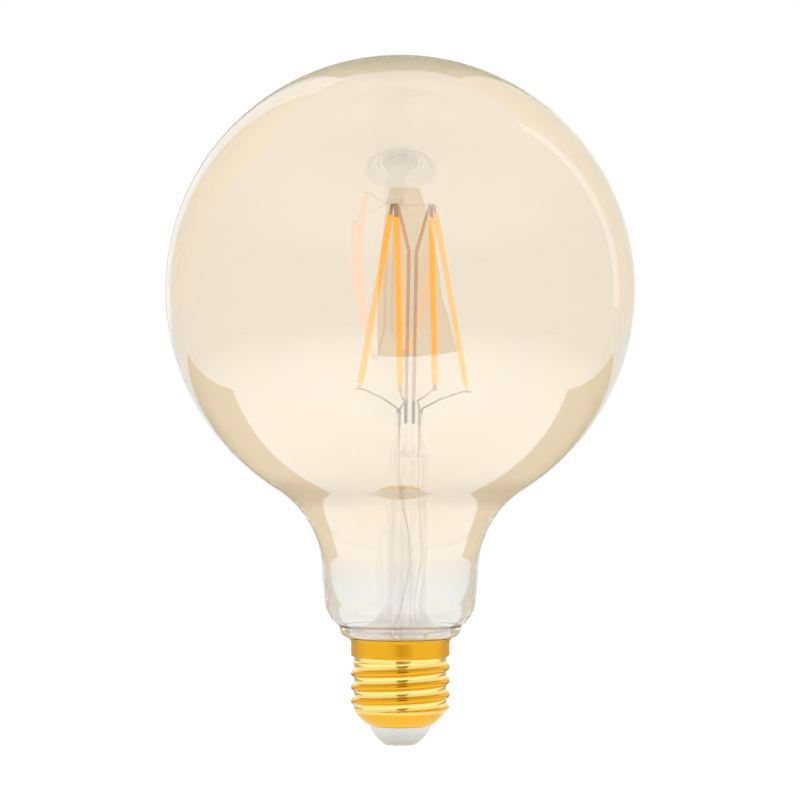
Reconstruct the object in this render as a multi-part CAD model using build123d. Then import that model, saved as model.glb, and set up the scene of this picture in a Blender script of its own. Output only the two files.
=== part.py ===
from build123d import *
from math import atan2, cos, degrees, hypot, radians, sin, sqrt
import os

os.makedirs("parts", exist_ok=True)

# Globe LED filament bulb with an E27 screw cap, in millimetres.
# +Z runs up the bulb's axis, the origin is the centre of the contact's lower face, and the
# photograph is taken from -Y.

# Gaps between pieces that are melted, cemented or pressed together
seal_gap = 0.02
weld_gap = 0.03

# Screw cap: rolled shell with its thread, rim and bowl
shell_wall = 0.3
thread_crest_r = 13.04
thread_depth = 0.99
pitch = 3.629
ridge_r = 0.85
crest_z = 9.6
arcs_per_turn = 6
skirt_inset = 0.14
skirt_height = 3.5
skirt_step = 0.8
rim_lip = 0.55
rim_height = 0.8
rim_z = 27.9
bowl_mouth_r = 8.1
bowl_foot_z = 5.0
bowl_height = 4.1
runout_rise = 2.4
runout_depth = 1.3
runout_height = 2.7
runout_lag = 3
fade_height = 2.0

# Insulator and centre contact
insulator_lip = 0.2
insulator_lip_height = 0.28
insulator_foot_r = 4.9
insulator_belly = 0.35
insulator_edge = 0.4
insulator_flange_out = 0.9
insulator_flange_rise = 0.9
insulator_flange = 1.3
insulator_bore_r = 1.3
contact_r = 3.95
contact_thick = 0.4
contact_edge_r = 0.15

# Foot of the glass, where the flare is melted in and the collar goes into the cap's skirt
cement_gap = 0.4
cement_depth = 0.7
collar_wall = 1.0
collar_length = 3.2
throat_step = 0.2
throat_out = 1.1
heel_out = 2.1
heel_height = 1.0
bead_out = 0.9
bead_height = 2.3
bead_step = 0.4
bead_drop = 1.5
seat_in = 0.8
seat_width = 1.4
seat_floor = 1.15

# Neck and globe, measured on the outside of the glass
roll_height = 6.6
neck_r = 19.8
neck_length = 9.85
neck_taper = 4.9
neck_wall = 1.0
shoulder_r = 25.0
globe_r = 61.4
globe_wall = 0.8

# Stem: the flare tube with its pinched end, and the lean of the whole mount
mount_shift = 1.5
mount_lean = 1.1
flare_rim = 0.8
flare_height = 8.0
stem_r = 5.25
stem_wall = 0.9
stem_length = 37.9
pinch_height = 4.5
press_height = 6.1
press_width = 7.9
press_depth = 4.4
press_edge_r = 0.8
blow_hole_r = 0.9
blow_hole_drop = 4.4
exhaust_r = 1.75
exhaust_wall = 0.6
exhaust_grip = 2.6
exhaust_tip_drop = 7.2

# Wires of the mount
post_r = 0.45
post_x = 1.0
post_grip = 2.4
post_slope = 12.0
post_spread = 4.2
post_end_x = 5.05
post_bend_r = 0.7
lead_r = 0.35
lead_x = 2.6
lead_rise = 1.5
lead_grip = 3.1
seal_wire_r = 0.25
outer_lead_r = 0.25
lead_bend_r = 1.5
lead_overlap = 2.0
lead_left_end_x = -5.0
lead_right_end_x = 4.0
feed_r = 0.22
feed_bend_r = 0.6
feed_overhang = 1.2

# Filaments, each named by the way its foot points, in degrees from +X
filament_names = ("left", "front", "back", "right")
filament_angles = (153.0, 260.0, 64.0, -8.0)
filament_circle_r = 15.0
filament_rise = 6.5
coat_length = 45.2
coat_width = 1.6
coat_thick = 1.4
coat_edge_r = 0.45
core_width = 0.8
core_thick = 0.4
tab_width = 1.1
tab_thick = 0.2
tab_grip = 1.5
foot_tab_length = 1.5
top_tab_length = 2.6

# Driver inside the cap
board_thick = 1.0
board_height = 13.4
board_gap = 0.3
board_side_gap = 1.0
sleeve_out = 1.1
sleeve_wall = 0.4
sleeve_height = 9.5
part_gap = 0.05
chip_width = 4.9
chip_height = 3.9
chip_thick = 1.5
chip_x = 3.6
chip_rise = 7.6
chip_leg_rows = 4
bridge_width = 4.7
bridge_height = 3.8
bridge_thick = 2.4
bridge_x = -4.5
bridge_rise = 3.2
bridge_leg_rows = 2
leg_thick = 0.2
leg_width = 0.4
leg_reach = 0.9
capacitor_r = 2.5
capacitor_length = 8.0
capacitor_x = -2.0
capacitor_rise = 3.0
capacitor_edge_r = 0.4
inductor_r = 2.3
inductor_length = 5.0
inductor_x = -2.0
inductor_rise = 10.1
winding_depth = 0.6
resistor_r = 1.2
resistor_length = 5.6
resistor_x = 3.4
resistor_rise = 2.4
wire_r = 0.3
wire_bend_r = 0.8
solder_r = 0.6
solder_height = 1.4
shell_wire_rise = 10.5
shell_wire_in = 1.2
contact_wire_rise = 4.0

# Heights and radii that follow from the sizes above, from the contact upwards
insulator_lip_r = bowl_mouth_r - insulator_lip
flange_r = insulator_lip_r + insulator_flange_out
sleeve_r = flange_r + sleeve_out
board_width = (sleeve_r - sleeve_wall - board_side_gap) * 2
bowl_top_z = bowl_foot_z + bowl_height
ridge_foot_z = bowl_foot_z + ridge_r * 2
rim_foot_z = rim_z - rim_height
skirt_foot_z = rim_foot_z - skirt_height
ridge_top_z = skirt_foot_z + ridge_r
skirt_r = thread_crest_r - skirt_inset
rim_r = skirt_r + rim_lip
thread_root_r = thread_crest_r - thread_depth
collar_r = skirt_r - shell_wall - cement_gap
collar_top_z = rim_z
collar_foot_z = collar_top_z - collar_length
throat_r = collar_r + throat_out
throat_z = collar_top_z + throat_step
heel_r = throat_r + heel_out
heel_z = throat_z + heel_height
seal_r = heel_r + bead_out
seal_z = heel_z + bead_height
neck_z = seal_z + roll_height
seat_r = heel_r - seat_in
seat_z = throat_z + seat_floor
flare_foot_z = seat_z + flare_rim
flare_top_z = flare_foot_z + flare_height
stem_top_z = flare_top_z + stem_length
pinch_z = stem_top_z + pinch_height
press_top_z = pinch_z + press_height
exhaust_top_z = stem_top_z + exhaust_grip
exhaust_tip_z = seat_z - exhaust_tip_drop
blow_hole_z = press_top_z - blow_hole_drop
lead_top_z = press_top_z + lead_rise
seal_wire_top_z = press_top_z - lead_grip
seal_wire_foot_z = (stem_top_z + exhaust_top_z) / 2
filament_foot_z = press_top_z + filament_rise
filament_span = foot_tab_length + coat_length + top_tab_length
post_top_z = filament_foot_z + sqrt(filament_span**2 - (filament_circle_r - post_end_x) ** 2)
post_bend_z = post_top_z - post_slope

BOTTOM = (Align.CENTER, Align.CENTER, Align.MIN)
nodes = {}


# Rods, tubes and bent wires


def rod(r, low, high):
    return Pos(0, 0, low) * Cylinder(r, high - low, align=BOTTOM)


def tube(r, wall, low, high):
    return rod(r, low, high) - rod(r - wall, low, high)


def bent_wire(r, bend_r, *points):
    """A round wire along straight runs with rounded bends."""
    path = FilletPolyline(*points, radius=bend_r)
    return sweep(Plane(path @ 0, z_dir=path % 0) * Circle(r), path=path)


def turned(*edges):
    """Turns a closed outline drawn as (radius, height) about the bulb's axis."""
    return revolve(Plane.XZ * make_face(edges), Axis.Z)


# Glass bulb: the globe's arc, the shoulder's arc, the tapered neck, and the rolled-in foot

taper = radians(neck_taper)
shoulder_centre_r = neck_r + neck_length * sin(taper) + shoulder_r * cos(taper)
shoulder_centre_z = neck_z + neck_length * cos(taper) - shoulder_r * sin(taper)
globe_z = shoulder_centre_z + sqrt((globe_r + shoulder_r) ** 2 - shoulder_centre_r**2)


def globe_and_neck(wall, foot_r):
    """The outline from the globe's top down to the foot of the neck's taper."""
    meet = degrees(atan2(globe_z - shoulder_centre_z, shoulder_centre_r))
    globe = CenterArc((0, globe_z), globe_r - wall, 90, -90 - meet)
    shoulder = CenterArc(
        (shoulder_centre_r, shoulder_centre_z),
        shoulder_r + wall,
        180 - meet,
        meet - neck_taper,
    )
    neck = Line(shoulder @ 1, (foot_r, neck_z))
    return globe, shoulder, neck


def glass_outside():
    globe, shoulder, neck = globe_and_neck(0, neck_r)
    roll = TangentArc(neck @ 1, (seal_r, seal_z), tangent=neck % 1)
    bead = Polyline(
        roll @ 1,
        (seal_r - bead_step, seal_z - bead_step),
        (seal_r - bead_step * 1.5, seal_z - bead_drop),
        (heel_r, heel_z),
    )
    sole = TangentArc(bead @ 1, (throat_r, throat_z), tangent=(-0.8, -1))
    collar = Polyline(
        sole @ 1, (collar_r, collar_top_z), (collar_r, collar_foot_z), (0, collar_foot_z)
    )
    axis = Line(collar @ 1, globe @ 0)
    return turned(globe, shoulder, neck, roll, *bead.edges(), sole, *collar.edges(), axis)


def glass_inside():
    bore = collar_r - collar_wall
    globe, shoulder, neck = globe_and_neck(globe_wall, neck_r - neck_wall)
    roll = TangentArc(neck @ 1, (seat_r + bead_step, seal_z), tangent=neck % 1)
    seat = Polyline(
        roll @ 1,
        (seat_r, seat_z),
        (seat_r - seat_width, seat_z),
        (bore, collar_top_z - collar_wall / 2),
        (bore, collar_foot_z),
        (0, collar_foot_z),
    )
    axis = Line(seat @ 1, globe @ 0)
    return turned(globe, shoulder, neck, roll, *seat.edges(), axis)


nodes["glass_globe"] = glass_outside() - glass_inside()

# Mount: everything on the stem leans by the same small angle about the top of the flare

mount = (
    Pos(mount_shift, 0, flare_top_z)
    * Rot(0, mount_lean, 0)
    * Pos(0, 0, -flare_top_z)
)


def flare_form(wall):
    """The trumpet from the rim up to the tube, which bends over to the mount's lean."""
    rim = seat_r - seal_gap
    sections = []
    for step in range(5):
        angle = radians(22.5 * step)
        up = 1 - cos(angle)
        r = stem_r + (rim - stem_r) * (1 - sin(angle)) - wall * sin(angle)
        z = flare_foot_z + flare_height * up - wall * cos(angle)
        tilt = Pos(mount_shift * up, 0, z) * Rot(0, mount_lean * up, 0)
        sections.append(tilt * Circle(r))
    return loft(sections)


pinch = loft(
    [
        Pos(0, 0, stem_top_z) * Circle(stem_r),
        Pos(0, 0, pinch_z) * RectangleRounded(press_width, press_depth, press_depth * 0.4),
    ]
)
block = extrude(
    Pos(0, 0, pinch_z) * RectangleRounded(press_width, press_depth, press_depth * 0.4),
    press_top_z - pinch_z,
)
block = fillet(block.faces().sort_by(Axis.Z)[-1].edges(), press_edge_r)
hollow_top_z = stem_top_z - 0.5
hollow = rod(stem_r - stem_wall, flare_top_z, hollow_top_z)
hollow += Pos(0, 0, hollow_top_z) * Cone(
    stem_r - stem_wall, exhaust_r + seal_gap, stem_wall * 2, align=BOTTOM
)
bores = rod(exhaust_r + seal_gap, hollow_top_z, exhaust_top_z)
bores += rod(blow_hole_r, exhaust_top_z, blow_hole_z + blow_hole_r)
bores += Pos(0, 0, blow_hole_z) * Rot(90, 0, 0) * Cylinder(
    blow_hole_r, press_depth, align=BOTTOM
)
for side in (-1, 1):
    bores += Pos(side * lead_x, 0, 0) * rod(
        seal_wire_r + seal_gap, hollow_top_z, seal_wire_top_z
    )
    bores += Pos(side * lead_x, 0, 0) * rod(lead_r + seal_gap, seal_wire_top_z, lead_top_z)
    bores += Pos(side * post_x, 0, 0) * rod(
        post_r + seal_gap, press_top_z - post_grip, lead_top_z
    )

stem = mount * (rod(stem_r, flare_top_z, stem_top_z) + pinch + block)
stem += rod(seat_r - seal_gap, seat_z, flare_foot_z) + flare_form(0)
nodes["stem_flare"] = stem - flare_form(stem_wall) - mount * (hollow + bores)

# Exhaust tube, melted shut at its tip inside the cap
exhaust = rod(exhaust_r, exhaust_tip_z + exhaust_r, exhaust_top_z)
exhaust += Pos(0, 0, exhaust_tip_z + exhaust_r) * Sphere(exhaust_r)
exhaust -= rod(exhaust_r - exhaust_wall, exhaust_tip_z + exhaust_r, exhaust_top_z)
nodes["exhaust_tube"] = mount * exhaust

# Wires in and above the press


def post(side):
    return bent_wire(
        post_r,
        post_bend_r,
        (side * post_x, 0, press_top_z - post_grip),
        (side * post_x, 0, post_bend_z),
        (side * post_spread, 0, post_top_z),
        (side * post_end_x, 0, post_top_z),
    )


for name, side in (("left", -1), ("right", 1)):
    place = mount * Pos(side * lead_x, 0, 0)
    nodes["post_" + name] = mount * post(side)
    nodes["inner_lead_" + name] = place * rod(lead_r, seal_wire_top_z, lead_top_z)
    nodes["seal_wire_" + name] = place * rod(seal_wire_r, seal_wire_foot_z, seal_wire_top_z)

# Outer leads, bent round the exhaust tube on their way down to the board
stem_room = (exhaust_r + stem_r - stem_wall) / 2
flange_z = bowl_foot_z + shell_wall + seal_gap
insulator_top_z = flange_z + insulator_flange
board_foot_z = insulator_top_z + board_gap
board_top_z = board_foot_z + board_height
lead_end_y = -board_thick / 2 - outer_lead_r - weld_gap


def outer_lead(side, end_x, *bends):
    """Down from the press by bends given as shares of the room and of the stem's length."""
    points = [(side * lead_x, 0, seal_wire_foot_z), (side * lead_x, 0, hollow_top_z)]
    for x, y, height in bends:
        points.append((stem_room * x, stem_room * y, flare_top_z + stem_length * height))
    points.append((end_x, lead_end_y, collar_foot_z))
    points.append((end_x, lead_end_y, board_top_z - lead_overlap))
    return mount * bent_wire(outer_lead_r, lead_bend_r, *points)


nodes["outer_lead_left"] = outer_lead(
    -1,
    lead_left_end_x,
    (-0.75, -0.7, 0.79),
    (0.1, -1.0, 0.47),
    (0.3, -0.95, 0.24),
    (-0.5, -0.9, -0.08),
)
nodes["outer_lead_right"] = outer_lead(
    1,
    lead_right_end_x,
    (0.85, 0.5, 0.79),
    (1.2, 0.3, 0.47),
    (1.28, 0.1, 0.3),
    (0.7, 0.75, -0.04),
)

# Filaments: each hangs from the bent end of a post, with its foot on its own feed wire


def foot_point(index):
    angle = radians(filament_angles[index])
    return Vector(
        filament_circle_r * cos(angle), filament_circle_r * sin(angle), filament_foot_z
    )


def hanging_point(index):
    """Where the upper tab meets its post: against the end face, or beside the bent end."""
    foot = foot_point(index)
    rise = post_top_z - filament_foot_z
    if abs(foot.X) > abs(foot.Y):
        run = abs(foot.X) - post_end_x
        slant = hypot(run, foot.Y)
        corner = (tab_width * abs(foot.Y) + tab_thick * run) / slant / 2
        out = post_end_x + corner + post_r * slant / rise + weld_gap
        return Vector(out if foot.X > 0 else -out, 0, post_top_z)
    along = (post_spread + post_end_x) / 2
    skew = abs(abs(foot.X) - along) / abs(foot.Y)
    reach = (post_r + tab_thick / 2 + weld_gap) * hypot(1, foot.Y / rise)
    reach += tab_width / 2 * skew
    return Vector(
        along if foot.X > 0 else -along, reach if foot.Y > 0 else -reach, post_top_z
    )


def feed_wire(name, lead_side, start_angle, *bends):
    """From beside an inner lead out under the end of a foot tab, and a little past it."""
    foot = foot_point(filament_names.index(name))
    turn = radians(start_angle)
    beside = lead_r + feed_r + weld_gap
    x = lead_side * lead_x + beside * cos(turn)
    y = beside * sin(turn)
    low = Vector(x, y, press_top_z + feed_r)
    high = Vector(x, y, lead_top_z)
    outward = Vector(foot.X, foot.Y, 0).normalized()
    level = foot - Vector(0, 0, feed_r + weld_gap)
    start = level - outward * feed_overhang
    points = [low, high]
    for along, aside, rise in bends:
        point = high + (start - high) * along
        points.append(point + Vector(aside, 0, rise))
    points.append(start)
    points.append(level + outward * feed_overhang)
    return bent_wire(feed_r, feed_bend_r, *points)


for index, name in enumerate(filament_names):
    foot = foot_point(index)
    top = hanging_point(index)
    up = (top - foot).normalized()
    across = Vector(0, 0, 1).cross(up).normalized()
    place = mount * Plane(origin=foot, x_dir=across, z_dir=up).location
    span = (top - foot).length + post_r * 0.6
    body = Pos(0, 0, foot_tab_length) * Box(coat_width, coat_thick, coat_length, align=BOTTOM)
    body = fillet(body.edges().filter_by(Axis.Z), coat_edge_r)
    core = Pos(0, 0, foot_tab_length + tab_grip) * Box(
        core_width, core_thick, coat_length - tab_grip * 2, align=BOTTOM
    )
    top_tab_z = foot_tab_length + coat_length - tab_grip
    foot_tab = Box(tab_width, tab_thick, foot_tab_length + tab_grip, align=BOTTOM)
    top_tab = Pos(0, 0, top_tab_z) * Box(
        tab_width, tab_thick, span - top_tab_z, align=BOTTOM
    )
    nodes["filament_coat_" + name] = place * (body - core - foot_tab - top_tab)
    nodes["filament_core_" + name] = place * core
    nodes["foot_tab_" + name] = place * foot_tab
    nodes["top_tab_" + name] = place * top_tab

nodes["feed_wire_left"] = mount * feed_wire("left", -1, 180, (0.45, 0, 0.5))
nodes["feed_wire_front"] = mount * feed_wire("front", -1, -90, (0.2, 1.3, 1.0), (0.6, 0.3, 0.6))
nodes["feed_wire_back"] = mount * feed_wire("back", 1, 90, (0.2, -1.3, 1.0), (0.6, -0.3, 0.6))
nodes["feed_wire_right"] = mount * feed_wire("right", 1, 0, (0.45, 0, 0.5))

# Screw shell, rolled from sheet: the thread's ridge is the outer half of a round bar wound
# along the screw line, raised outside the sheet and pressed out from inside by the same line


def screw_line(r):
    """Arcs that follow the screw line at a radius, each one leaving along the last."""
    turns_low = (ridge_foot_z - crest_z) / pitch
    count = round((ridge_top_z - ridge_foot_z) / pitch * arcs_per_turn)
    points = []
    for step in range(count + 1):
        turn = radians(360 * (turns_low + step / arcs_per_turn))
        rise = pitch * step / arcs_per_turn
        points.append(Vector(r * cos(turn), r * sin(turn), ridge_foot_z + rise))
    start = radians(360 * turns_low)
    heading = Vector(-r * sin(start), r * cos(start), pitch / radians(360))
    arcs = []
    for low, high in zip(points, points[1:]):
        arcs.append(Edge.make_tangent_arc(low, heading, high))
        heading = arcs[-1] % 1
    return Wire(arcs)


def ridge(inset):
    """The wound bar, trimmed so that it runs out into the bowl and stops at the skirt.

    Pressed from inside, the run-out starts higher than it does outside.
    """
    r = ridge_r - inset / 2
    path = screw_line(thread_crest_r - inset - r)
    bar = sweep(Plane(path @ 0, z_dir=path % 0) * Circle(r), path=path)
    clear_r = thread_crest_r + ridge_r / 4 - inset
    fade_z = skirt_foot_z - skirt_step - inset * runout_lag
    runout_z = bowl_foot_z + runout_rise + inset * runout_lag
    outline = Polyline(
        (0, runout_z),
        (thread_root_r - runout_depth - inset, runout_z),
        (clear_r, runout_z + runout_height),
        (clear_r, fade_z - fade_height),
        (thread_root_r - inset - seal_gap, fade_z),
        (0, fade_z),
        close=True,
    )
    return bar & turned(*outline.edges())


def sheet_form(inset):
    """Rim, skirt, plain core of the thread and bowl, set in by an inset."""
    foot_z = bowl_foot_z + inset
    lid = Line((0, rim_z), (rim_r - inset, rim_z))
    rim = TangentArc(lid @ 1, (skirt_r - inset, rim_foot_z), tangent=(-0.8, -1))
    side = Polyline(
        rim @ 1,
        (skirt_r - inset, skirt_foot_z),
        (thread_root_r - inset, skirt_foot_z - skirt_step),
        (thread_root_r - inset, bowl_top_z),
    )
    bowl = TangentArc(side @ 1, (bowl_mouth_r, foot_z), tangent=(-0.5, -1))
    mouth = Polyline(bowl @ 1, (0, foot_z), lid @ 0)
    return turned(lid, rim, *side.edges(), bowl, *mouth.edges())


mouth_r = insulator_lip_r - shell_wall * 2
shell = sheet_form(0) + ridge(0) - (sheet_form(shell_wall) + ridge(shell_wall))
nodes["screw_shell"] = shell - rod(mouth_r, bowl_foot_z, flange_z)

# Cement between the skirt and the collar of the glass
cement_r = skirt_r - shell_wall - seal_gap
nodes["cement_ring"] = tube(
    cement_r, cement_r - collar_r - seal_gap, collar_foot_z, rim_foot_z - cement_depth
)

# Insulator: a lip below the shell's mouth, a waist through it and a flange above it
waist_r = mouth_r - seal_gap
lip_top_z = bowl_foot_z - seal_gap
foot = Polyline(
    (insulator_bore_r, contact_thick),
    (insulator_foot_r - insulator_edge, contact_thick),
    (insulator_foot_r, contact_thick + insulator_edge),
)
belly = ThreePointArc(
    foot @ 1,
    (
        (insulator_foot_r + insulator_lip_r + insulator_belly * 2) / 2,
        (contact_thick + lip_top_z - insulator_lip_height) / 2,
    ),
    (insulator_lip_r, lip_top_z - insulator_lip_height),
)
upper = Polyline(
    belly @ 1,
    (insulator_lip_r, lip_top_z),
    (waist_r, lip_top_z),
    (waist_r, flange_z),
    (insulator_lip_r, flange_z),
    (flange_r, flange_z + insulator_flange_rise),
    (flange_r, insulator_top_z),
    (insulator_bore_r, insulator_top_z),
    foot @ 0,
)
nodes["cap_insulator"] = turned(*foot.edges(), belly, *upper.edges())

contact = Cylinder(contact_r, contact_thick, align=BOTTOM)
contact = fillet(contact.edges().sort_by(Axis.Z)[0], contact_edge_r)
nodes["centre_contact"] = contact

# Driver: a board on edge in the cap, with its parts on both faces
nodes["driver_board"] = Pos(0, 0, board_foot_z) * Box(
    board_width, board_thick, board_height, align=BOTTOM
)
nodes["driver_sleeve"] = tube(
    sleeve_r, sleeve_wall, board_foot_z, insulator_top_z + sleeve_height
)
front_y = -board_thick / 2 - part_gap
back_y = board_thick / 2 + part_gap


def chip(width, height, thick, x, z, rows):
    """A moulded chip on the front of the board, with bent legs left and right."""
    body_y = front_y - thick / 2 - leg_thick / 2
    body = Pos(x, body_y, z) * Box(width, thick, height)
    for side in (-1, 1):
        for row in range(rows):
            up = z + (row - (rows - 1) / 2) * height / rows
            foot_x = x + side * (width + leg_reach) / 2
            shin_x = x + side * (width / 2 + leg_reach / 3)
            shin = Pos(shin_x, (front_y + body_y) / 2, up)
            knee = Pos(x + side * (width / 2 + leg_reach / 6), body_y, up)
            body += Pos(foot_x, front_y - leg_thick / 2, up) * Box(
                leg_reach, leg_thick, leg_width
            )
            body += shin * Box(leg_thick, front_y - body_y, leg_width)
            body += knee * Box(leg_reach / 2, leg_thick, leg_width)
    return body


nodes["bridge_rectifier"] = chip(
    bridge_width,
    bridge_height,
    bridge_thick,
    bridge_x,
    board_foot_z + bridge_rise,
    bridge_leg_rows,
)
nodes["driver_chip"] = chip(
    chip_width, chip_height, chip_thick, chip_x, board_foot_z + chip_rise, chip_leg_rows
)
nodes["fusible_resistor"] = (
    Pos(resistor_x, front_y - resistor_r, board_foot_z + resistor_rise)
    * Rot(0, 90, 0)
    * Cylinder(resistor_r, resistor_length)
)
can = Cylinder(capacitor_r, capacitor_length)
can = fillet(can.edges().filter_by(GeomType.CIRCLE), capacitor_edge_r)
nodes["smoothing_capacitor"] = (
    Pos(capacitor_x, back_y + capacitor_r, board_foot_z + capacitor_rise) * Rot(0, 90, 0) * can
)
drum = Cylinder(inductor_r, inductor_length)
drum -= tube(inductor_r, winding_depth, -inductor_length * 0.3, inductor_length * 0.3)
nodes["inductor"] = (
    Pos(inductor_x, back_y + inductor_length / 2, board_foot_z + inductor_rise)
    * Rot(90, 0, 0)
    * drum
)

# Mains wires: one up and over to the inside of the skirt, one down to the centre contact
wire_y = front_y - wire_r
shell_wire_x = board_width / 2 - shell_wire_in
shell_wire_z = collar_foot_z - solder_r - seal_gap
shell_wire_end_x = skirt_r - shell_wall - solder_r - weld_gap
nodes["shell_wire"] = bent_wire(
    wire_r,
    wire_bend_r,
    (shell_wire_x, wire_y, board_foot_z + shell_wire_rise),
    (shell_wire_x, wire_y, shell_wire_z),
    (shell_wire_end_x, wire_y, shell_wire_z),
)
drop = Pos(shell_wire_end_x, wire_y, shell_wire_z) * Sphere(solder_r)
nodes["shell_solder"] = drop - nodes["shell_wire"]
nodes["contact_wire"] = bent_wire(
    wire_r,
    wire_bend_r,
    (0, wire_y, board_foot_z + contact_wire_rise),
    (0, wire_y, flange_z + insulator_flange / 4),
    (0, 0, bowl_foot_z - insulator_flange),
    (0, 0, contact_thick + wire_r * 2),
)
slug = rod(insulator_bore_r - seal_gap, contact_thick, contact_thick + solder_height)
nodes["contact_solder"] = slug - nodes["contact_wire"]

for node, shape in nodes.items():
    export_step(shape, f"parts/{node}.step")
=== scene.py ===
from math import atan2, cos, hypot, pi, radians, sin, sqrt

import bpy
from mathutils import Matrix, Vector


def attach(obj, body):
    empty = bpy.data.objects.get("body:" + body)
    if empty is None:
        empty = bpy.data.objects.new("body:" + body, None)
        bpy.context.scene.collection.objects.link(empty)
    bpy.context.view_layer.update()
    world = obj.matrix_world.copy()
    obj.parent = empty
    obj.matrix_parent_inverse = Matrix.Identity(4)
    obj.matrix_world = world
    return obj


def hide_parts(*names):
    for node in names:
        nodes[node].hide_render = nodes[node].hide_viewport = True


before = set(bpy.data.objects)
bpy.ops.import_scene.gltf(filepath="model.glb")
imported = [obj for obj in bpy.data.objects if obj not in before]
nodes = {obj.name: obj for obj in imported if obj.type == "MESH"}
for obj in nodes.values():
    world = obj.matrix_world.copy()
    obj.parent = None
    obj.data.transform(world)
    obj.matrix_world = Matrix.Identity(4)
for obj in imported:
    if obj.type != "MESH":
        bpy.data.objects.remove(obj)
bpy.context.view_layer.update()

MM = 0.001


# Helpers for the nodes of a material or of the world


def link(owner, source, target):
    owner.node_tree.links.new(source, target)


def node(owner, kind, **values):
    """A new node with its plain properties set, and its sockets where the name is a socket's."""
    made = owner.node_tree.nodes.new(kind)
    for name, value in values.items():
        if name in made.inputs:
            made.inputs[name].default_value = value
        else:
            setattr(made, name, value)
    return made


def maths(owner, operation, first, second, **values):
    """The result of a Math node on two values, each a socket or a number."""
    made = node(owner, "ShaderNodeMath", operation=operation, **values)
    for socket, value in zip(made.inputs, (first, second)):
        if isinstance(value, float):
            socket.default_value = value
        else:
            link(owner, value, socket)
    return made.outputs[0]


def new_material(name):
    material = bpy.data.materials.new(name)
    material.use_nodes = True
    return material, material.node_tree.nodes["Principled BSDF"]


def set_sockets(shader, **values):
    for name, value in values.items():
        shader.inputs[name.replace("_", " ")].default_value = value


def surface_of(material):
    return material.node_tree.nodes["Material Output"].inputs["Surface"]


def object_place(material):
    return node(material, "ShaderNodeTexCoord").outputs["Object"]


def split_place(material):
    """The sockets of a point's X, Y and Z in the object's own frame."""
    place = node(material, "ShaderNodeSeparateXYZ")
    link(material, object_place(material), place.inputs["Vector"])
    return place.outputs


def height_of(material):
    return split_place(material)["Z"]


def radius_of(material):
    """Distance from the bulb's axis."""
    place = split_place(material)
    flat = node(material, "ShaderNodeCombineXYZ")
    link(material, place["X"], flat.inputs["X"])
    link(material, place["Y"], flat.inputs["Y"])
    length = node(material, "ShaderNodeVectorMath", operation="LENGTH")
    link(material, flat.outputs["Vector"], length.inputs[0])
    return length.outputs["Value"]


def mix_colour(material, share, low, high):
    """A colour that goes from low to high with the share; each is a socket or plain values."""
    mix = node(material, "ShaderNodeMix", data_type="RGBA")
    ends = [socket for socket in mix.inputs if socket.type == "RGBA"]
    for socket, colour in zip(ends, (low, high)):
        if isinstance(colour, tuple):
            socket.default_value = (*colour, 1)
        else:
            link(material, colour, socket)
    link(material, share, mix.inputs["Factor"])
    return next(socket for socket in mix.outputs if socket.type == "RGBA")


def noise(material, scale, detail=3.0):
    texture = node(material, "ShaderNodeTexNoise", Scale=scale, Detail=detail)
    link(material, object_place(material), texture.inputs["Vector"])
    return texture.outputs["Fac"]


def span(material, value, low, high, out_low=0.0, out_high=1.0):
    """Maps a socket's range to another, clamped and smoothed."""
    ranged = node(material, "ShaderNodeMapRange", interpolation_type="SMOOTHSTEP")
    ranged.inputs["From Min"].default_value = low
    ranged.inputs["From Max"].default_value = high
    ranged.inputs["To Min"].default_value = out_low
    ranged.inputs["To Max"].default_value = out_high
    link(material, value, ranged.inputs["Value"])
    return ranged.outputs["Result"]


def span_mm(material, length, low, high, *out):
    """The same for a length whose range is given in millimetres."""
    return span(material, length, low * MM, high * MM, *out)


def bump(material, shader, height, distance, strength=1.0):
    bumped = node(material, "ShaderNodeBump", Strength=strength, Distance=distance)
    link(material, height, bumped.inputs["Height"])
    link(material, bumped.outputs["Normal"], shader.inputs["Normal"])


def mottled(name, low, high, scale, rough=(0.35, 0.5), metallic=0.0, grain=0.0):
    """A finish with two close colours, uneven roughness and a fine surface grain."""
    material, shader = new_material(name)
    spots = noise(material, scale)
    colour = mix_colour(material, span(material, spots, 0.35, 0.65), low, high)
    link(material, colour, shader.inputs["Base Color"])
    uneven = span(material, noise(material, scale * 2.3), 0.3, 0.7, *rough)
    link(material, uneven, shader.inputs["Roughness"])
    set_sockets(shader, Metallic=metallic)
    if grain:
        bump(material, shader, noise(material, scale * 6), grain)
    return material


def metal(name, low, high, scale=900, rough=(0.3, 0.5)):
    return mottled(name, low, high, scale, rough, metallic=1.0, grain=0.02 * MM)


def paint(material, *names):
    for name in names:
        mesh = nodes[name].data
        mesh.materials.clear()
        mesh.materials.append(material)


# Globe, neck and collar, in millimetres

globe_r = 61.4
globe_wall = 0.8
neck_r = 19.8
neck_z = 38.0
neck_length = 9.85
neck_taper = radians(4.9)
neck_wall = 1.0
shoulder_r = 25.0
seal = (16.3, 31.4)
bead_step = 0.4
bead_drop = 1.5
heel = (15.4, 29.1)
throat = (13.3, 28.1)
throat_heading = (-0.8, -1)
collar_r = 12.2
collar_wall = 1.0
collar_top_z = 27.9
collar_foot_z = 24.7

# Seat of the flare's rim, and offsets of the melted joint on its air side and its gas side
seat_r = 14.6
seat_z = 29.25
joint_air_in = 1.6
joint_air_down = 0.05
joint_gas_out = 0.15
joint_gas_up = 0.3

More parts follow.
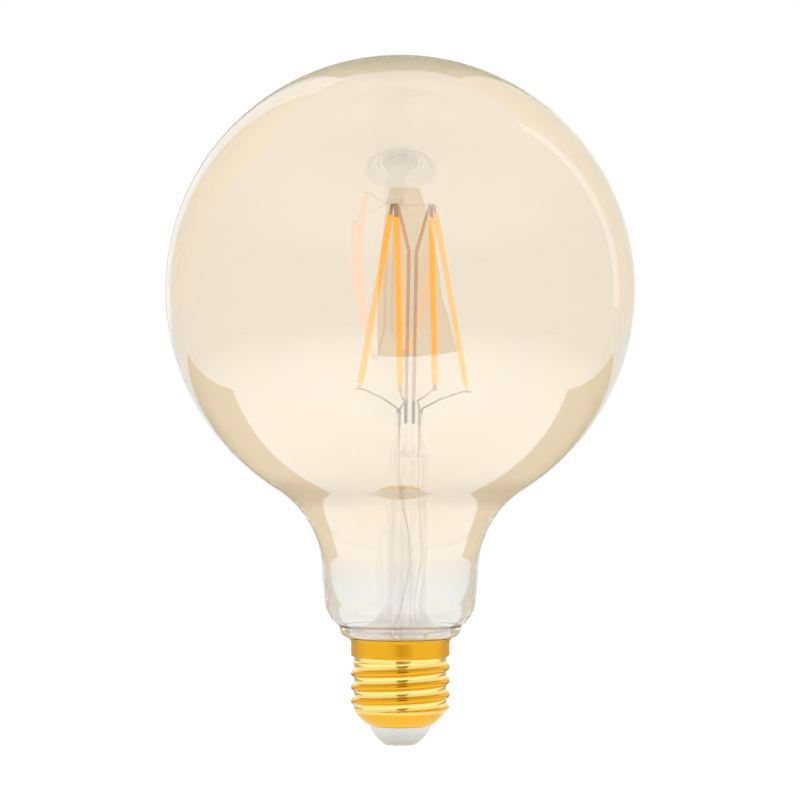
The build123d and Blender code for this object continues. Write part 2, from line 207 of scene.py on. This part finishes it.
# Stem, press and exhaust tube
flare_foot_z = 30.05
flare_height = 8.0
mount_shift = 1.5
mount_lean = radians(1.1)
stem_r = 5.25
stem_wall = 0.9
stem_top_z = 75.95
hollow_top_z = 75.45
pinch_z = 80.45
press_top_z = 86.55
press_width = 7.9
press_depth = 4.4
press_corner_r = press_depth * 0.4
press_edge_r = 0.8
exhaust_r = 1.75
exhaust_wall = 0.6
exhaust_gap = 0.02
exhaust_top_z = 78.55
exhaust_tip_z = 22.05
blow_hole_r = 0.9
blow_hole_z = 82.15

# Screw shell, with its thread's run-out over the bowl and its fade below the skirt
shell_wall = 0.3
crest_r = 13.04
root_r = 12.05
ridge_r = 0.85
ridge_fillet_r = 1.1
pitch = 3.629
crest_z = 9.6
bowl_foot_z = 5.0
bowl_top_z = 9.1
bowl_mouth_r = 8.1
bowl_heading = (-0.5, -1)
shell_mouth_r = 7.3
runout_z = 7.4
runout_r = 10.75
runout_slope = 2.5 / 2.7
fade_top_z = 22.8
fade_end_z = 22.0
fade_slope = 1.2 / 1.1
skirt_foot_z = 23.6
skirt_r = 12.9
skirt_edge = 0.08
rim_foot_z = 27.1
rim_r = 13.45
rim_z = 27.9
rim_heading = (-0.8, -1)

# Fineness of the meshes
ring_count = 144
globe_steps = 72
shoulder_steps = 24
seal_steps = 12
throat_steps = 6
flare_steps = 18
pinch_steps = 6
press_edge_steps = 6
exhaust_tip_steps = 9
rim_steps = 6
skirt_foot_steps = 8
thread_steps = 130
bowl_steps = 36


# Rings of points, and meshes of joined rings


def ring(radius_at, z):
    """A level ring whose radius is a number or a function of the angle."""
    points = []
    for i in range(ring_count):
        turn = 2 * pi * (i + 0.5) / ring_count
        r = radius_at(turn) if callable(radius_at) else radius_at
        points.append(Vector((r * cos(turn), r * sin(turn), z)))
    return points


def rounded_ring(width, depth, corner_r, z):
    """A level rounded rectangle, point for point beside a circle's ring."""
    points = []
    for i in range(ring_count):
        turn = 2 * pi * (i + 0.5) / ring_count
        x = (width / 2 - corner_r) * (1 if cos(turn) > 0 else -1)
        y = (depth / 2 - corner_r) * (1 if sin(turn) > 0 else -1)
        points.append(Vector((x + corner_r * cos(turn), y + corner_r * sin(turn), z)))
    return points


def placed(rings, place):
    return [[place @ point for point in points] for points in rings]


def rings_of(line):
    """Rings of an outline given as (radius, height); a radius of zero closes an end."""
    return [ring(r, z) if r > 0 else [Vector((0, 0, z))] for r, z in line]


def ring_mesh(name, *surfaces, loop=False):
    """Skins of joined rings, which face outwards where their rings go downwards."""
    points = []
    faces = []
    for rings in surfaces:
        rows = []
        for one in rings:
            rows.append(range(len(points), len(points) + len(one)))
            points += [point * MM for point in one]
        if loop:
            rows.append(rows[0])
        for upper, lower in zip(rows, rows[1:]):
            count = max(len(upper), len(lower))
            for i in range(count):
                j = (i + 1) % count
                corners = [upper[i % len(upper)], lower[i % len(lower)]]
                corners += [lower[j % len(lower)], upper[j % len(upper)]]
                faces.append(list(dict.fromkeys(corners)))
    mesh = bpy.data.meshes.new(name)
    mesh.from_pydata(points, [], faces)
    mesh.validate()
    made = bpy.data.objects.new(name, mesh)
    bpy.context.collection.objects.link(made)
    return made


def finished(made, slot, materials, *replaced, sharp=30):
    """Smooth shading with its sharp corners kept, its finishes, and its place in the frame."""
    made.data.shade_smooth()
    made.data.set_sharp_from_angle(angle=radians(sharp))
    for material in materials:
        made.data.materials.append(material)
    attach(made, "root")
    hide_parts(*replaced)


def arc(centre, start, end, steps):
    """Points from start to end about a centre, the short way, without the first."""
    radius = hypot(start[0] - centre[0], start[1] - centre[1])
    low = atan2(start[1] - centre[1], start[0] - centre[0])
    turn = atan2(end[1] - centre[1], end[0] - centre[0]) - low
    turn = (turn + pi) % (2 * pi) - pi
    angles = [low + turn * i / steps for i in range(1, steps + 1)]
    return [(centre[0] + radius * cos(a), centre[1] + radius * sin(a)) for a in angles]


def tangent_arc(start, heading, end, steps):
    """Points of the arc that leaves start along a heading and passes through end."""
    size = hypot(*heading)
    normal = (-heading[1] / size, heading[0] / size)
    way = (end[0] - start[0], end[1] - start[1])
    across = way[0] * normal[0] + way[1] * normal[1]
    reach = (way[0] ** 2 + way[1] ** 2) / (2 * across)
    centre = (start[0] + normal[0] * reach, start[1] + normal[1] * reach)
    return arc(centre, start, end, steps)


# Glass: the globe with its neck, and the stem melted into it, are one piece

shoulder_centre = (
    neck_r + neck_length * sin(neck_taper) + shoulder_r * cos(neck_taper),
    neck_z + neck_length * cos(neck_taper) - shoulder_r * sin(neck_taper),
)
globe_z = shoulder_centre[1] + sqrt((globe_r + shoulder_r) ** 2 - shoulder_centre[0] ** 2)


def globe_and_neck(wall, foot_r, end):
    """Outline from the globe's top down the shoulder and the neck to where it rolls in."""
    rise = atan2(globe_z - shoulder_centre[1], shoulder_centre[0])
    round_r = shoulder_r + wall
    upper, lower = [
        (shoulder_centre[0] + round_r * cos(turn), shoulder_centre[1] + round_r * sin(turn))
        for turn in (pi - rise, pi - neck_taper)
    ]
    line = [(0, globe_z + globe_r - wall)]
    line += arc((0, globe_z), line[0], upper, globe_steps)
    line += arc(shoulder_centre, upper, lower, shoulder_steps)
    line += [((lower[0] + foot_r) / 2, (lower[1] + neck_z) / 2), (foot_r, neck_z)]
    down = (-sin(neck_taper), -cos(neck_taper))
    return line + tangent_arc(line[-1], down, end, seal_steps)


def flare_rings(wall, first):
    """The trumpet from its rim up to the tube, bending over to the mount's lean."""
    rings = []
    for step in range(first, flare_steps + 1):
        angle = radians(90 / flare_steps * step)
        up = 1 - cos(angle)
        r = stem_r + (seat_r - stem_r) * (1 - sin(angle)) - wall * sin(angle)
        z = flare_foot_z + flare_height * up - wall * cos(angle)
        place = Matrix.Translation((mount_shift * up, 0, z))
        place = place @ Matrix.Rotation(mount_lean * up, 4, "Y")
        rings += placed([ring(r, 0)], place)
    return rings


flare_top_z = flare_foot_z + flare_height
mount = Matrix.Translation((mount_shift, 0, flare_top_z))
mount = mount @ Matrix.Rotation(mount_lean, 4, "Y") @ Matrix.Translation((0, 0, -flare_top_z))


def air_side():
    """Down the outside to the collar, up through it, and up the hollow of the stem."""
    line = globe_and_neck(0, neck_r, seal)
    line += [(seal[0] - bead_step, seal[1] - bead_step)]
    line += [(seal[0] - bead_step * 1.5, seal[1] - bead_drop), heel]
    line += tangent_arc(heel, throat_heading, throat, throat_steps)
    bore = collar_r - collar_wall
    line += [(collar_r, collar_top_z), (collar_r, collar_foot_z), (bore, collar_foot_z)]
    line += [(bore, collar_top_z - collar_wall / 2)]
    line += [(seat_r - joint_air_in, seat_z - joint_air_down)]
    hollow_r = stem_r - stem_wall
    fit_r = exhaust_r + exhaust_gap
    hollow = [(hollow_r, hollow_top_z), (fit_r, hollow_top_z + stem_wall * 2)]
    hollow += [(fit_r, exhaust_top_z), (blow_hole_r, exhaust_top_z)]
    hollow += [(blow_hole_r, blow_hole_z + blow_hole_r), (0, blow_hole_z + blow_hole_r)]
    return rings_of(line) + flare_rings(stem_wall, 2) + placed(rings_of(hollow), mount)


def press_rings():
    """The stem's round end, pinched flat into the press, whose top edge is rounded."""
    round_end = ring(stem_r, stem_top_z)
    pinched = rounded_ring(press_width, press_depth, press_corner_r, pinch_z)
    rings = [round_end]
    for step in range(1, pinch_steps + 1):
        share = step / pinch_steps
        rings.append([a.lerp(b, share) for a, b in zip(round_end, pinched)])
    for step in range(press_edge_steps + 1):
        turn = radians(90 / press_edge_steps * step)
        inset = press_edge_r * (1 - cos(turn))
        width = press_width - inset * 2
        depth = press_depth - inset * 2
        z = press_top_z - press_edge_r * (1 - sin(turn))
        rings.append(rounded_ring(width, depth, press_corner_r - inset, z))
    rings.append([Vector((0, 0, press_top_z))])
    return rings


def gas_side():
    """From the top of the press down the stem, over the flare and up the globe's inside."""
    end = (seat_r + bead_step, seal[1])
    wall = globe_and_neck(globe_wall, neck_r - neck_wall, end)
    wall += [(seat_r + joint_gas_out, flare_foot_z + joint_gas_up)]
    rings = rings_of(wall) + flare_rings(0, 1) + placed(press_rings(), mount)
    return rings[::-1]


def drill_blow_hole(made):
    """Cuts the hole from the bore out through the front of the press."""
    place = mount @ Matrix.Translation((0, 0, blow_hole_z)) @ Matrix.Rotation(pi / 2, 4, "X")
    line = [(0, press_depth), (blow_hole_r, press_depth), (blow_hole_r, 0), (0, 0)]
    cutter = ring_mesh("cutter", placed(rings_of(line), place))
    cut = made.modifiers.new("blow_hole", "BOOLEAN")
    cut.operation = "DIFFERENCE"
    cut.solver = "EXACT"
    cut.object = cutter
    whole = bpy.data.meshes.new_from_object(
        made.evaluated_get(bpy.context.evaluated_depsgraph_get())
    )
    made.modifiers.clear()
    made.data = whole
    bpy.data.objects.remove(cutter)


def amber_glass():
    """Greyish clear at the neck, amber above it, and deeper towards the top and the edges.

    The deeper edges are partly the longer path through the tint and partly painted shade,
    and a darker band in the shoulder is painted shade, for the globe's lower part seen through
    its wall. Down at the heel it takes streaks of the brass rim's colour, a painted reflection
    of the rim. Its strong coat stands for the mirror-like lacquer, and is weaker towards the
    edges.
    """
    material, shader = new_material("amber_glass")
    height = height_of(material)
    facing = node(material, "ShaderNodeLayerWeight", Blend=0.5).outputs["Facing"]
    # Darker towards the edges: partly the longer path through the tint, partly painted shade.
    edge = span(material, facing, 0.1, 0.95)
    amber = mix_colour(material, edge, (0.92, 0.85, 0.735), (0.86, 0.745, 0.56))
    crown = span_mm(material, height, 174, 180)
    amber = mix_colour(material, crown, amber, (0.66, 0.63, 0.48))
    # Painted shade: a darker band in the shoulder, for the globe's lower part seen through the
    # wall.
    above_neck = span_mm(material, height, 61, 65)
    below_globe = span_mm(material, height, 71, 67)
    shoulder = maths(material, "MULTIPLY", above_neck, below_globe)
    shoulder = maths(material, "MULTIPLY", shoulder, edge)
    amber = mix_colour(material, shoulder, amber, (0.55, 0.45, 0.33))
    # The neck's edges are darker in the same way, partly painted shade.
    neck = mix_colour(material, edge, (0.86, 0.85, 0.815), (0.72, 0.70, 0.65))
    fade_foot = span(material, noise(material, 22, 2.0), 0.3, 0.7, 39.5 * MM, 42.5 * MM)
    lacquered = span_mm(material, maths(material, "SUBTRACT", height, fade_foot), 0, 11)
    colour = mix_colour(material, lacquered, neck, amber)
    # Painted reflection: gold streaks at the heel stand for the brass rim seen in the glass.
    at_heel = span_mm(material, height, 30.0, 29.2)
    streaks = span(material, noise(material, 120, 4.0), 0.4, 0.6, 0.25, 1.0)
    painted_rim_reflection = maths(material, "MULTIPLY", at_heel, streaks)
    colour = mix_colour(material, painted_rim_reflection, colour, (0.68, 0.50, 0.22))
    link(material, colour, shader.inputs["Base Color"])
    set_sockets(shader, Roughness=0.0, IOR=1.5, Transmission_Weight=1.0)
    link(material, span(material, edge, 0.45, 0.9, 1.0, 0.3), shader.inputs["Coat Weight"])
    set_sockets(shader, Coat_Roughness=0.0, Coat_IOR=2.3)
    bump(material, shader, noise(material, 14, 1.0), 0.2 * MM, 0.25)
    return material


def clear_glass():
    """Thin clear glass, partly see-through so that its stacked walls stay light."""
    material, shader = new_material("clear_glass")
    cloud = span(material, noise(material, 60), 0.3, 0.7)
    colour = mix_colour(material, cloud, (0.99, 0.99, 0.985), (1.0, 1.0, 0.995))
    link(material, colour, shader.inputs["Base Color"])
    set_sockets(shader, Roughness=0.0, IOR=1.4, Transmission_Weight=1.0, Alpha=0.35)
    return material


clear = clear_glass()


def bulb_glass():
    """The whole glass, amber but for the clear stem inside it."""
    bulb = ring_mesh("bulb_glass", air_side(), gas_side())
    drill_blow_hole(bulb)
    finished(bulb, "amber_glass", (amber_glass(), clear), "glass_globe", "stem_flare")
    above_press_z = press_top_z + 1
    for face in bulb.data.polygons:
        inside_seat = hypot(face.center.x, face.center.y) < seat_r * MM
        if inside_seat and seat_z * MM < face.center.z < above_press_z * MM:
            face.material_index = 1


def exhaust_tube():
    """A tube with a round tip, where it was melted off."""
    line = []
    for step in range(exhaust_tip_steps + 1):
        turn = radians(90 / exhaust_tip_steps * step)
        line.append((exhaust_r * sin(turn), exhaust_tip_z + exhaust_r * (1 - cos(turn))))
    bore = exhaust_r - exhaust_wall
    line += [(exhaust_r, exhaust_top_z), (bore, exhaust_top_z)]
    line += [(bore, exhaust_tip_z + exhaust_r), (0, exhaust_tip_z + exhaust_r)]
    tube = ring_mesh("exhaust_glass", placed(rings_of(line), mount)[::-1])
    finished(tube, "clear_glass", (clear,), "exhaust_tube")


bulb_glass()
exhaust_tube()


# Screw shell: rolled sheet whose ridge has a round crest and filleted feet


def thread_r(turn, z):
    """Radius of the thread's surface at an angle and a height."""
    crest = crest_z + pitch * turn / (2 * pi)
    away = abs((z - crest + pitch / 2) % pitch - pitch / 2)
    bar_r = crest_r - ridge_r
    reach = ridge_r + ridge_fillet_r
    lift = root_r + ridge_fillet_r - bar_r
    foot = sqrt(reach**2 - lift**2)
    if away < foot * ridge_r / reach:
        return bar_r + sqrt(ridge_r**2 - away**2)
    if away < foot:
        return root_r + ridge_fillet_r - sqrt(ridge_fillet_r**2 - (foot - away) ** 2)
    return root_r


def sheet_line():
    """The plain sheet under the thread, as (radius, height), from the rim to the mouth."""
    line = [(rim_r, rim_z)]
    line += tangent_arc(line[0], rim_heading, (skirt_r, rim_foot_z), rim_steps)
    line.append((skirt_r, rim_foot_z - skirt_edge))
    for share in (0.25, 0.5, 0.75):
        line.append((skirt_r, rim_foot_z + (skirt_foot_z - rim_foot_z) * share))
    line += [(skirt_r, skirt_foot_z + skirt_edge), (skirt_r, skirt_foot_z)]
    for step in range(1, skirt_foot_steps + 1):
        turn = pi * step / skirt_foot_steps
        r = root_r + (skirt_r - root_r) * (1 + cos(turn)) / 2
        line.append((r, skirt_foot_z + (fade_top_z - skirt_foot_z) * step / skirt_foot_steps))
    for step in range(1, thread_steps + 1):
        line.append((root_r, fade_top_z + (bowl_top_z - fade_top_z) * step / thread_steps))
    return line + tangent_arc(line[-1], bowl_heading, (bowl_mouth_r, bowl_foot_z), bowl_steps)


def shell_ring(sheet_r, z, inset):
    """A ring of the sheet, raised by the thread where its run-out and its fade allow it."""
    if not runout_z < z < fade_top_z:
        return ring(sheet_r - inset, z)
    limit = runout_r + (z - runout_z) * runout_slope
    limit = min(limit, root_r + max(0, fade_end_z - z) * fade_slope)

    def radius(turn):
        return max(sheet_r, min(thread_r(turn, z), limit)) - inset

    return ring(radius, z)


def cap_brass(name, glow):
    """Bright gold-coloured sheet: deep gold on skirt and crests, and paler down in the
    thread's valleys, which is a painted highlight.

    The skirt is satin, and the rest is polished. The glow stands for light that the glass
    pipes into the cap.
    """
    material, shader = new_material(name)
    # Painted highlight: the thread's valleys above the bowl are paler than its crests and skirt.
    raised = span_mm(material, radius_of(material), 12.1, 12.75)
    above_bowl = span_mm(material, height_of(material), 8.2, 9.2)
    sunken = mix_colour(material, above_bowl, (0.80, 0.45, 0.04), (0.90, 0.72, 0.24))
    colour = mix_colour(material, raised, sunken, (0.77, 0.40, 0.02))
    link(material, colour, shader.inputs["Base Color"])
    polish = span(material, noise(material, 400), 0.3, 0.7, 0.08, 0.16)
    satin = span_mm(material, height_of(material), 23.0, 23.6, 0.0, 0.2)
    link(material, maths(material, "ADD", polish, satin), shader.inputs["Roughness"])
    set_sockets(shader, Metallic=1.0, Emission_Color=(0.8, 0.5, 0.14, 1), Emission_Strength=glow)
    bump(material, shader, noise(material, 700, 4.0), 0.02 * MM, 0.5)
    return material


def screw_shell():
    """The sheet's outside down to the mouth, and its inside back up to the rim."""
    line = sheet_line()
    rings = [shell_ring(r, z, 0) for r, z in line]
    outer_faces = len(rings) * ring_count
    rings += [ring(shell_mouth_r, bowl_foot_z), ring(shell_mouth_r, bowl_foot_z + shell_wall)]
    kept = [(r, z) for r, z in line if z > bowl_foot_z + shell_wall]
    rings += [shell_ring(r, z, shell_wall) for r, z in reversed(kept)]
    shell = ring_mesh("rolled_shell", rings, loop=True)
    finishes = (cap_brass("cap_brass", 0.0), cap_brass("cap_brass_inside", 0.25))
    finished(shell, "cap_brass", finishes, "screw_shell", sharp=40)
    for face in shell.data.polygons[outer_faces:]:
        face.material_index = 1


screw_shell()


# Wires, tabs and filaments


def sealed_wire(name, bright, dark, low_z, high_z):
    """Wire that is oxidised grey where the press was heated, and bright above it."""
    material, shader = new_material(name)
    spots = span(material, noise(material, 900), 0.3, 0.7, -0.8 * MM, 0.8 * MM)
    height = maths(material, "ADD", height_of(material), spots)
    share = span_mm(material, height, low_z, high_z)
    colour = mix_colour(material, share, dark, bright)
    link(material, colour, shader.inputs["Base Color"])
    rough = span(material, noise(material, 1500), 0.3, 0.7, 0.3, 0.5)
    link(material, rough, shader.inputs["Roughness"])
    set_sockets(shader, Metallic=1.0)
    return material


def phosphor_coat():
    """Silicone with yellow phosphor, whose glow stands for light scattered within."""
    material, shader = new_material("phosphor")
    spots = span(material, noise(material, 500), 0.3, 0.7)
    colour = mix_colour(material, spots, (1.0, 0.33, 0.0), (1.0, 0.38, 0.003))
    link(material, colour, shader.inputs["Base Color"])
    link(material, colour, shader.inputs["Emission Color"])
    set_sockets(shader, Roughness=0.45, Emission_Strength=1.1)
    bump(material, shader, noise(material, 900), 0.04 * MM, 0.4)
    return material


post_metal = sealed_wire("post_metal", (0.78, 0.63, 0.55), (0.24, 0.23, 0.23), 89.3, 90.6)
feed_metal = sealed_wire("feed_metal", (0.70, 0.60, 0.48), (0.20, 0.19, 0.19), 89.2, 92.2)
lead_metal = metal("lead_metal", (0.42, 0.38, 0.33), (0.55, 0.50, 0.44), rough=(0.25, 0.4))
outer_metal = metal("outer_lead_metal", (0.66, 0.57, 0.46), (0.78, 0.70, 0.58), rough=(0.25, 0.4))
copper = metal("seal_wire", (0.80, 0.42, 0.28), (0.90, 0.55, 0.40), 1200)
foot_tab_metal = metal("foot_tab_metal", (0.80, 0.72, 0.58), (0.90, 0.83, 0.70))
top_tab_metal = metal("top_tab_metal", (0.45, 0.28, 0.15), (0.60, 0.40, 0.25))
ceramic = mottled("filament_core", (0.75, 0.74, 0.70), (0.85, 0.85, 0.82), 700)
phosphor = phosphor_coat()

for side in ("left", "right"):
    paint(post_metal, "post_" + side)
    paint(lead_metal, "inner_lead_" + side)
    paint(outer_metal, "outer_lead_" + side)
    paint(copper, "seal_wire_" + side)

for side in ("left", "front", "back", "right"):
    paint(phosphor, "filament_coat_" + side)
    paint(ceramic, "filament_core_" + side)
    paint(top_tab_metal, "top_tab_" + side)
    paint(foot_tab_metal, "foot_tab_" + side)
    paint(feed_metal, "feed_wire_" + side)


# Cap parts other than the shell

cement = mottled("cement", (0.55, 0.52, 0.46), (0.72, 0.69, 0.62), 500, (0.8, 0.95))
paint(cement, "cement_ring")
insulator = mottled("insulator", (0.92, 0.93, 0.90), (0.97, 0.98, 0.95), 250, (0.3, 0.45))
paint(insulator, "cap_insulator")
contact = metal("contact", (0.72, 0.46, 0.24), (0.85, 0.60, 0.36), 500, (0.2, 0.4))
paint(contact, "centre_contact")

# Driver parts, which the cap hides
board = mottled("board", (0.03, 0.13, 0.05), (0.05, 0.18, 0.07), 300)
paint(board, "driver_board")
black = mottled("moulded_black", (0.02, 0.02, 0.02), (0.04, 0.04, 0.04), 600, (0.4, 0.6))
paint(black, "bridge_rectifier", "driver_chip")
resistor = mottled("resistor_coat", (0.2, 0.34, 0.38), (0.25, 0.4, 0.44), 400)
paint(resistor, "fusible_resistor")
can_sleeve = mottled("can_sleeve", (0.01, 0.01, 0.02), (0.02, 0.02, 0.03), 200)
paint(can_sleeve, "smoothing_capacitor")
ferrite = mottled("ferrite", (0.03, 0.03, 0.03), (0.06, 0.055, 0.05), 600, (0.6, 0.8))
paint(ferrite, "inductor")
sleeve = mottled("sleeve", (0.66, 0.66, 0.6), (0.75, 0.75, 0.7), 200)
paint(sleeve, "driver_sleeve")
hookup_wire = mottled("hookup_wire", (0.4, 0.01, 0.01), (0.5, 0.02, 0.015), 300)
paint(hookup_wire, "shell_wire", "contact_wire")
solder = mottled("solder", (0.5, 0.5, 0.52), (0.65, 0.65, 0.67), 800, (0.25, 0.4), 1.0)
paint(solder, "shell_solder", "contact_solder")


# Camera, at the photograph's viewing angle: pixels, pixels per millimetre, and metres

photo_scale = 3.82
photo_axis_x = 400.3
photo_foot_y = 745.0
image_size = 800.0
camera_distance = 1.30
camera_tilt = radians(1.25)
sensor_width = 36.0

aim = Vector(
    (
        (image_size / 2 - photo_axis_x) / photo_scale * MM,
        0,
        (photo_foot_y - image_size / 2) / photo_scale * MM,
    )
)
camera_data = bpy.data.cameras.new("camera")
camera = bpy.data.objects.new("camera", camera_data)
bpy.context.collection.objects.link(camera)
camera.location = aim + camera_distance * Vector((0, -cos(camera_tilt), sin(camera_tilt)))
camera.rotation_euler = (pi / 2 - camera_tilt, 0, 0)
camera_data.sensor_width = sensor_width
camera_data.lens = sensor_width * camera_distance / (image_size / photo_scale * MM)
camera_data.clip_end = 50.0
bpy.context.scene.camera = camera


# World and floor, in metres

world_fill = 0.5
floor_glow = 0.72
floor_half = 6
floor_near = 0.10
floor_far = 0.45


def seen_directly(owner):
    """1 for what the camera sees, also by a reflection or through the glass."""
    path = node(owner, "ShaderNodeLightPath")
    total = path.outputs["Is Camera Ray"]
    for name in ("Is Glossy Ray", "Is Transmission Ray"):
        total = maths(owner, "ADD", total, path.outputs[name], use_clamp=True)
    return total


def studio_world():
    """White where it is seen, and half as strong where it only lights the bulb."""
    world = bpy.data.worlds.new("studio")
    world.use_nodes = True
    bpy.context.scene.world = world
    background = world.node_tree.nodes["Background"]
    background.inputs["Color"].default_value = (1, 1, 1, 1)
    strength = node(world, "ShaderNodeMapRange")
    strength.inputs["To Min"].default_value = world_fill
    strength.inputs["To Max"].default_value = 1.0
    link(world, seen_directly(world), strength.inputs["Value"])
    link(world, strength.outputs["Result"], background.inputs["Strength"])


def plate(name, corners, place, turn):
    """A flat stage piece with the given corners in its own plane."""
    mesh = bpy.data.meshes.new(name)
    mesh.from_pydata([(x, y, 0) for x, y in corners], [], [range(len(corners))])
    made = bpy.data.objects.new(name, mesh)
    bpy.context.collection.objects.link(made)
    made.location = place
    made.rotation_euler = turn
    return made


def pale_floor():
    """A pale floor that takes shadows near the bulb and runs out to the white of the world."""
    corners = [(-1, -1), (1, -1), (1, 1), (-1, 1)]
    corners = [(x * floor_half, y * floor_half) for x, y in corners]
    floor = plate("floor", corners, (0, 0, 0), (0, 0, 0))
    material, shader = new_material("floor")
    set_sockets(shader, Base_Color=(0.55, 0.55, 0.55, 1), Roughness=0.9)
    set_sockets(shader, Specular_IOR_Level=0.0)
    set_sockets(shader, Emission_Color=(1, 1, 1, 1))
    direct = seen_directly(material)
    glow = maths(material, "MULTIPLY", direct, floor_glow)
    link(material, glow, shader.inputs["Emission Strength"])
    white = node(material, "ShaderNodeEmission", Strength=1.0)
    outwards = span(material, radius_of(material), floor_near, floor_far)
    both = node(material, "ShaderNodeMixShader")
    link(material, maths(material, "MULTIPLY", outwards, direct), both.inputs["Fac"])
    link(material, shader.outputs["BSDF"], both.inputs[1])
    link(material, white.outputs["Emission"], both.inputs[2])
    link(material, both.outputs["Shader"], surface_of(material))
    floor.data.materials.append(material)


studio_world()
pale_floor()


# Cards that show only as reflections in the glass and the cap, in metres

upright = (pi / 2, 0, 0)
level = (0, 0, 0)
above_floor = (0, 0, 0.5 * MM)
front_y = -1.9
crown_card_y = 1.8
strip_distance = 2
strip_height = 2.2

brown = (0.42, 0.24, 0.03), (0.52, 0.31, 0.05)
tan = (0.62, 0.50, 0.33), (0.70, 0.57, 0.38)
olive = (0.60, 0.55, 0.39), (0.66, 0.60, 0.43)
cream = (0.95, 0.88, 0.75), (0.99, 0.92, 0.80)
white = (0.95, 0.95, 0.95), (1.0, 1.0, 1.0)


def card(name, corners, place, turn, colours, strength=1.0):
    """A glowing card in two mottled colours, which casts no light or shadow."""
    panel = plate(name, corners, place, turn)
    panel.visible_camera = False
    panel.visible_diffuse = False
    panel.visible_transmission = False
    panel.visible_shadow = False
    material, shader = new_material(name)
    material.node_tree.nodes.remove(shader)
    light = node(material, "ShaderNodeEmission", Strength=strength)
    colour = mix_colour(material, span(material, noise(material, 6), 0.3, 0.7), *colours)
    link(material, colour, light.inputs["Color"])
    link(material, light.outputs["Emission"], surface_of(material))
    panel.data.materials.append(material)


def strip(name, angle, width, colours, strength):
    """An upright card behind the bulb, turned about its axis from straight behind."""
    turn = radians(angle)
    place = (-strip_distance * sin(turn), strip_distance * cos(turn), 0)
    half = width / 2
    corners = [(-half, 0), (half, 0), (half, strip_height), (-half, strip_height)]
    card(name, corners, place, (pi / 2, 0, turn), colours, strength)


warm_card = [(-0.36, 0), (0.68, 0), (0.42, 2.4), (-0.23, 2.4)]
card("warm_card", warm_card, (0, front_y, 0), upright, brown)
warm_sheet = [(-0.04, -0.22), (-0.36, front_y), (0.68, front_y), (0.11, -0.22)]
card("warm_sheet", warm_sheet, above_floor, level, brown)
tan_sheet = [(-0.2, 0.03), (0.2, 0.03), (0.4, 0.4), (-0.4, 0.4)]
card("tan_sheet", tan_sheet, above_floor, level, tan)
olive_card = [(-0.3, 0.45), (0.3, 0.45), (0.5, 1.9), (-0.5, 1.9)]
card("olive_card", olive_card, (0, crown_card_y, 0), upright, olive)
strip("tan_middle", 4.0, 0.5, tan, 1.1)
strip("strip_left", 21.0, 0.46, white, 1.3)
strip("cream_left", 46.0, 1.25, cream, 1.1)
strip("cream_right", -24.5, 1.5, cream, 1.1)
strip("strip_right", -50.0, 0.25, white, 1.3)


# Lamps, in metres and watts

bulb_middle = Vector((0, 0, 0.09))


def softbox(name, place, size, watts):
    """A soft lamp that faces the middle of the bulb and stays out of its reflections."""
    data = bpy.data.lights.new(name, "AREA")
    data.shape = "RECTANGLE"
    data.size, data.size_y = size
    data.energy = watts
    lamp = bpy.data.objects.new(name, data)
    bpy.context.collection.objects.link(lamp)
    lamp.location = place
    lamp.rotation_euler = (bulb_middle - Vector(place)).to_track_quat("-Z", "Y").to_euler()
    lamp.visible_glossy = False
    lamp.visible_transmission = False


softbox("softbox_left", (-1.2, -0.9, 0.6), (0.8, 1.2), 12)
softbox("softbox_right", (1.2, -0.9, 0.6), (0.8, 1.2), 12)
softbox("softbox_top", (0, -0.2, 1.6), (1.2, 1.2), 10)

bpy.context.scene.view_settings.view_transform = "Standard"
